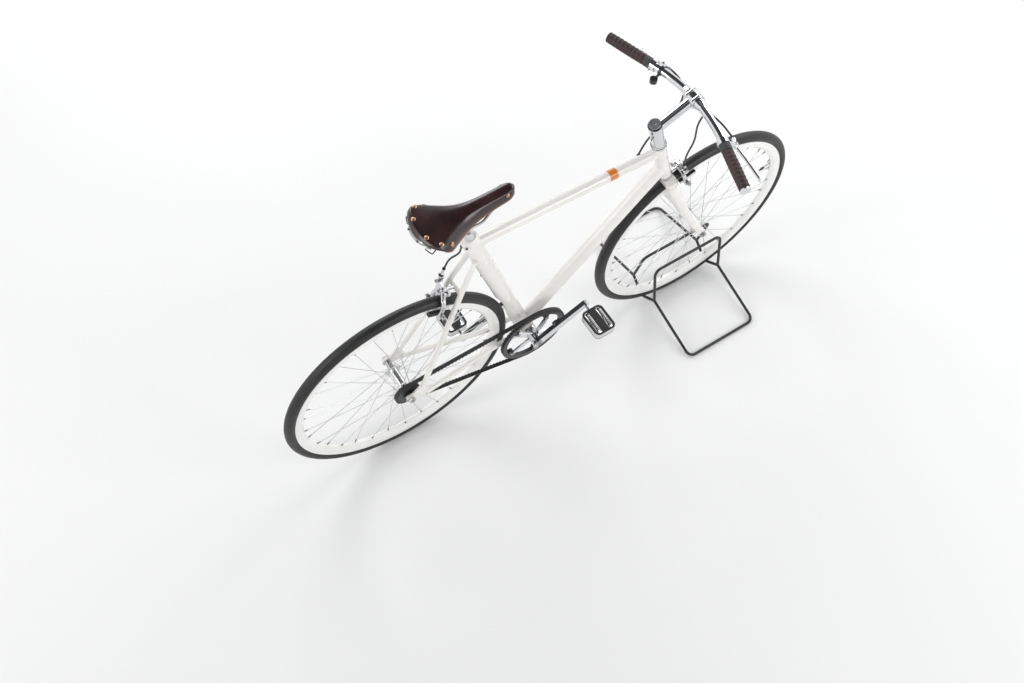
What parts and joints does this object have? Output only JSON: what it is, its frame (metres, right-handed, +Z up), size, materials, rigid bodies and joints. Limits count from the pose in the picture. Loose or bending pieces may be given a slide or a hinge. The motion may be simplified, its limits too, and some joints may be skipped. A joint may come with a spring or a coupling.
{
  "type": "city bicycle",
  "caption": "City bicycle with belt drive, diamond frame, leather saddle and grips, rim brakes, its front wheel held in a wire display stand.",
  "frame": {"origin": "on the floor, half way between the contact points of the two tyres, in the bicycle's middle plane", "axes": "+X forward, +Y to the rider's left, +Z up"},
  "size_m": [1.6829, 0.5706, 0.996],
  "materials": {
    "white_paint": "gloss",
    "polished_alloy": "polished",
    "steel": "bright",
    "white_rim": "gloss",
    "tyre_rubber": "matte",
    "belt_rubber": "matte",
    "black_pulley": "black anodised",
    "black_plastic": "satin",
    "brown_leather": "waxed",
    "black_cable": "satin",
    "black_wire": "powder coat"
  },
  "bodies": {
    "frame": {"head_tube": "white_paint", "seat_tube": "white_paint", "top_tube": "white_paint", "down_tube": "white_paint", "bottom_bracket_shell": "white_paint", "dropout_left": "white_paint", "dropout_right": "white_paint", "chainstay_left": "white_paint", "chainstay_right": "white_paint", "seatstay_left": "white_paint", "seatstay_right": "white_paint", "brake_bridge": "white_paint", "bottom_bracket_cups": "steel", "headset_cups": "polished_alloy", "rear_axle": "steel", "belt": "belt_rubber", "seat_post": "polished_alloy", "saddle_leather": "brown_leather", "saddle_rails": "steel", "rear_brake": "polished_alloy", "rear_brake_cable": "black_cable"},
    "fork": {"fork_crown": "white_paint", "fork_blade_left": "white_paint", "fork_blade_right": "white_paint", "front_axle": "steel", "headset_stack": "polished_alloy", "stem": "polished_alloy", "handlebar": "polished_alloy", "grip_left": "brown_leather", "grip_right": "brown_leather", "brake_lever_left": "polished_alloy", "brake_lever_right": "polished_alloy", "bell": "black_plastic", "front_brake": "polished_alloy", "front_brake_cable": "black_cable", "rear_cable_front": "black_cable", "stand_loop_left": "black_wire", "stand_loop_right": "black_wire", "stand_cross_front": "black_wire", "stand_cross_rear": "black_wire"},
    "front_wheel": {"front_tyre": "tyre_rubber", "front_rim": "white_rim", "front_spokes": "steel", "front_hub": "polished_alloy"},
    "rear_wheel": {"rear_tyre": "tyre_rubber", "rear_rim": "white_rim", "rear_spokes": "steel", "rear_hub": "polished_alloy", "rear_cog": "black_pulley"},
    "crankset": {"crank_spindle": "steel", "crank_left": "polished_alloy", "crank_right": "polished_alloy", "front_pulley": "black_pulley"},
    "pedal_left": {"pedal_left": "black_plastic"},
    "pedal_right": {"pedal_right": "black_plastic"}
  },
  "joints": [
    {"name": "steering", "type": "hinge", "parent": "frame", "child": "fork", "pos_m": [0.317, 0, 0.75856], "axis": [-0.284, 0, 0.9588], "range_deg": [-60, 60], "deforming": ["rear_cable_front"]},
    {"name": "front_wheel_spin", "type": "hinge", "parent": "fork", "child": "front_wheel", "pos_m": [0.4985, 0, 0.343], "axis": [0, 1, 0], "continuous": true},
    {"name": "rear_wheel_spin", "type": "hinge", "parent": "frame", "child": "rear_wheel", "pos_m": [-0.4985, 0, 0.343], "axis": [0, 1, 0], "continuous": true},
    {"name": "crank_spin", "type": "hinge", "parent": "frame", "child": "crankset", "pos_m": [-0.09226, 0, 0.284], "axis": [0, 1, 0], "continuous": true},
    {"name": "pedal_left_spin", "type": "hinge", "parent": "crankset", "child": "pedal_left", "pos_m": [-0.24633, 0.146, 0.21216], "axis": [0, 1, 0], "continuous": true},
    {"name": "pedal_right_spin", "type": "hinge", "parent": "crankset", "child": "pedal_right", "pos_m": [0.06181, -0.146, 0.35585], "axis": [0, 1, 0], "continuous": true}
  ]
}
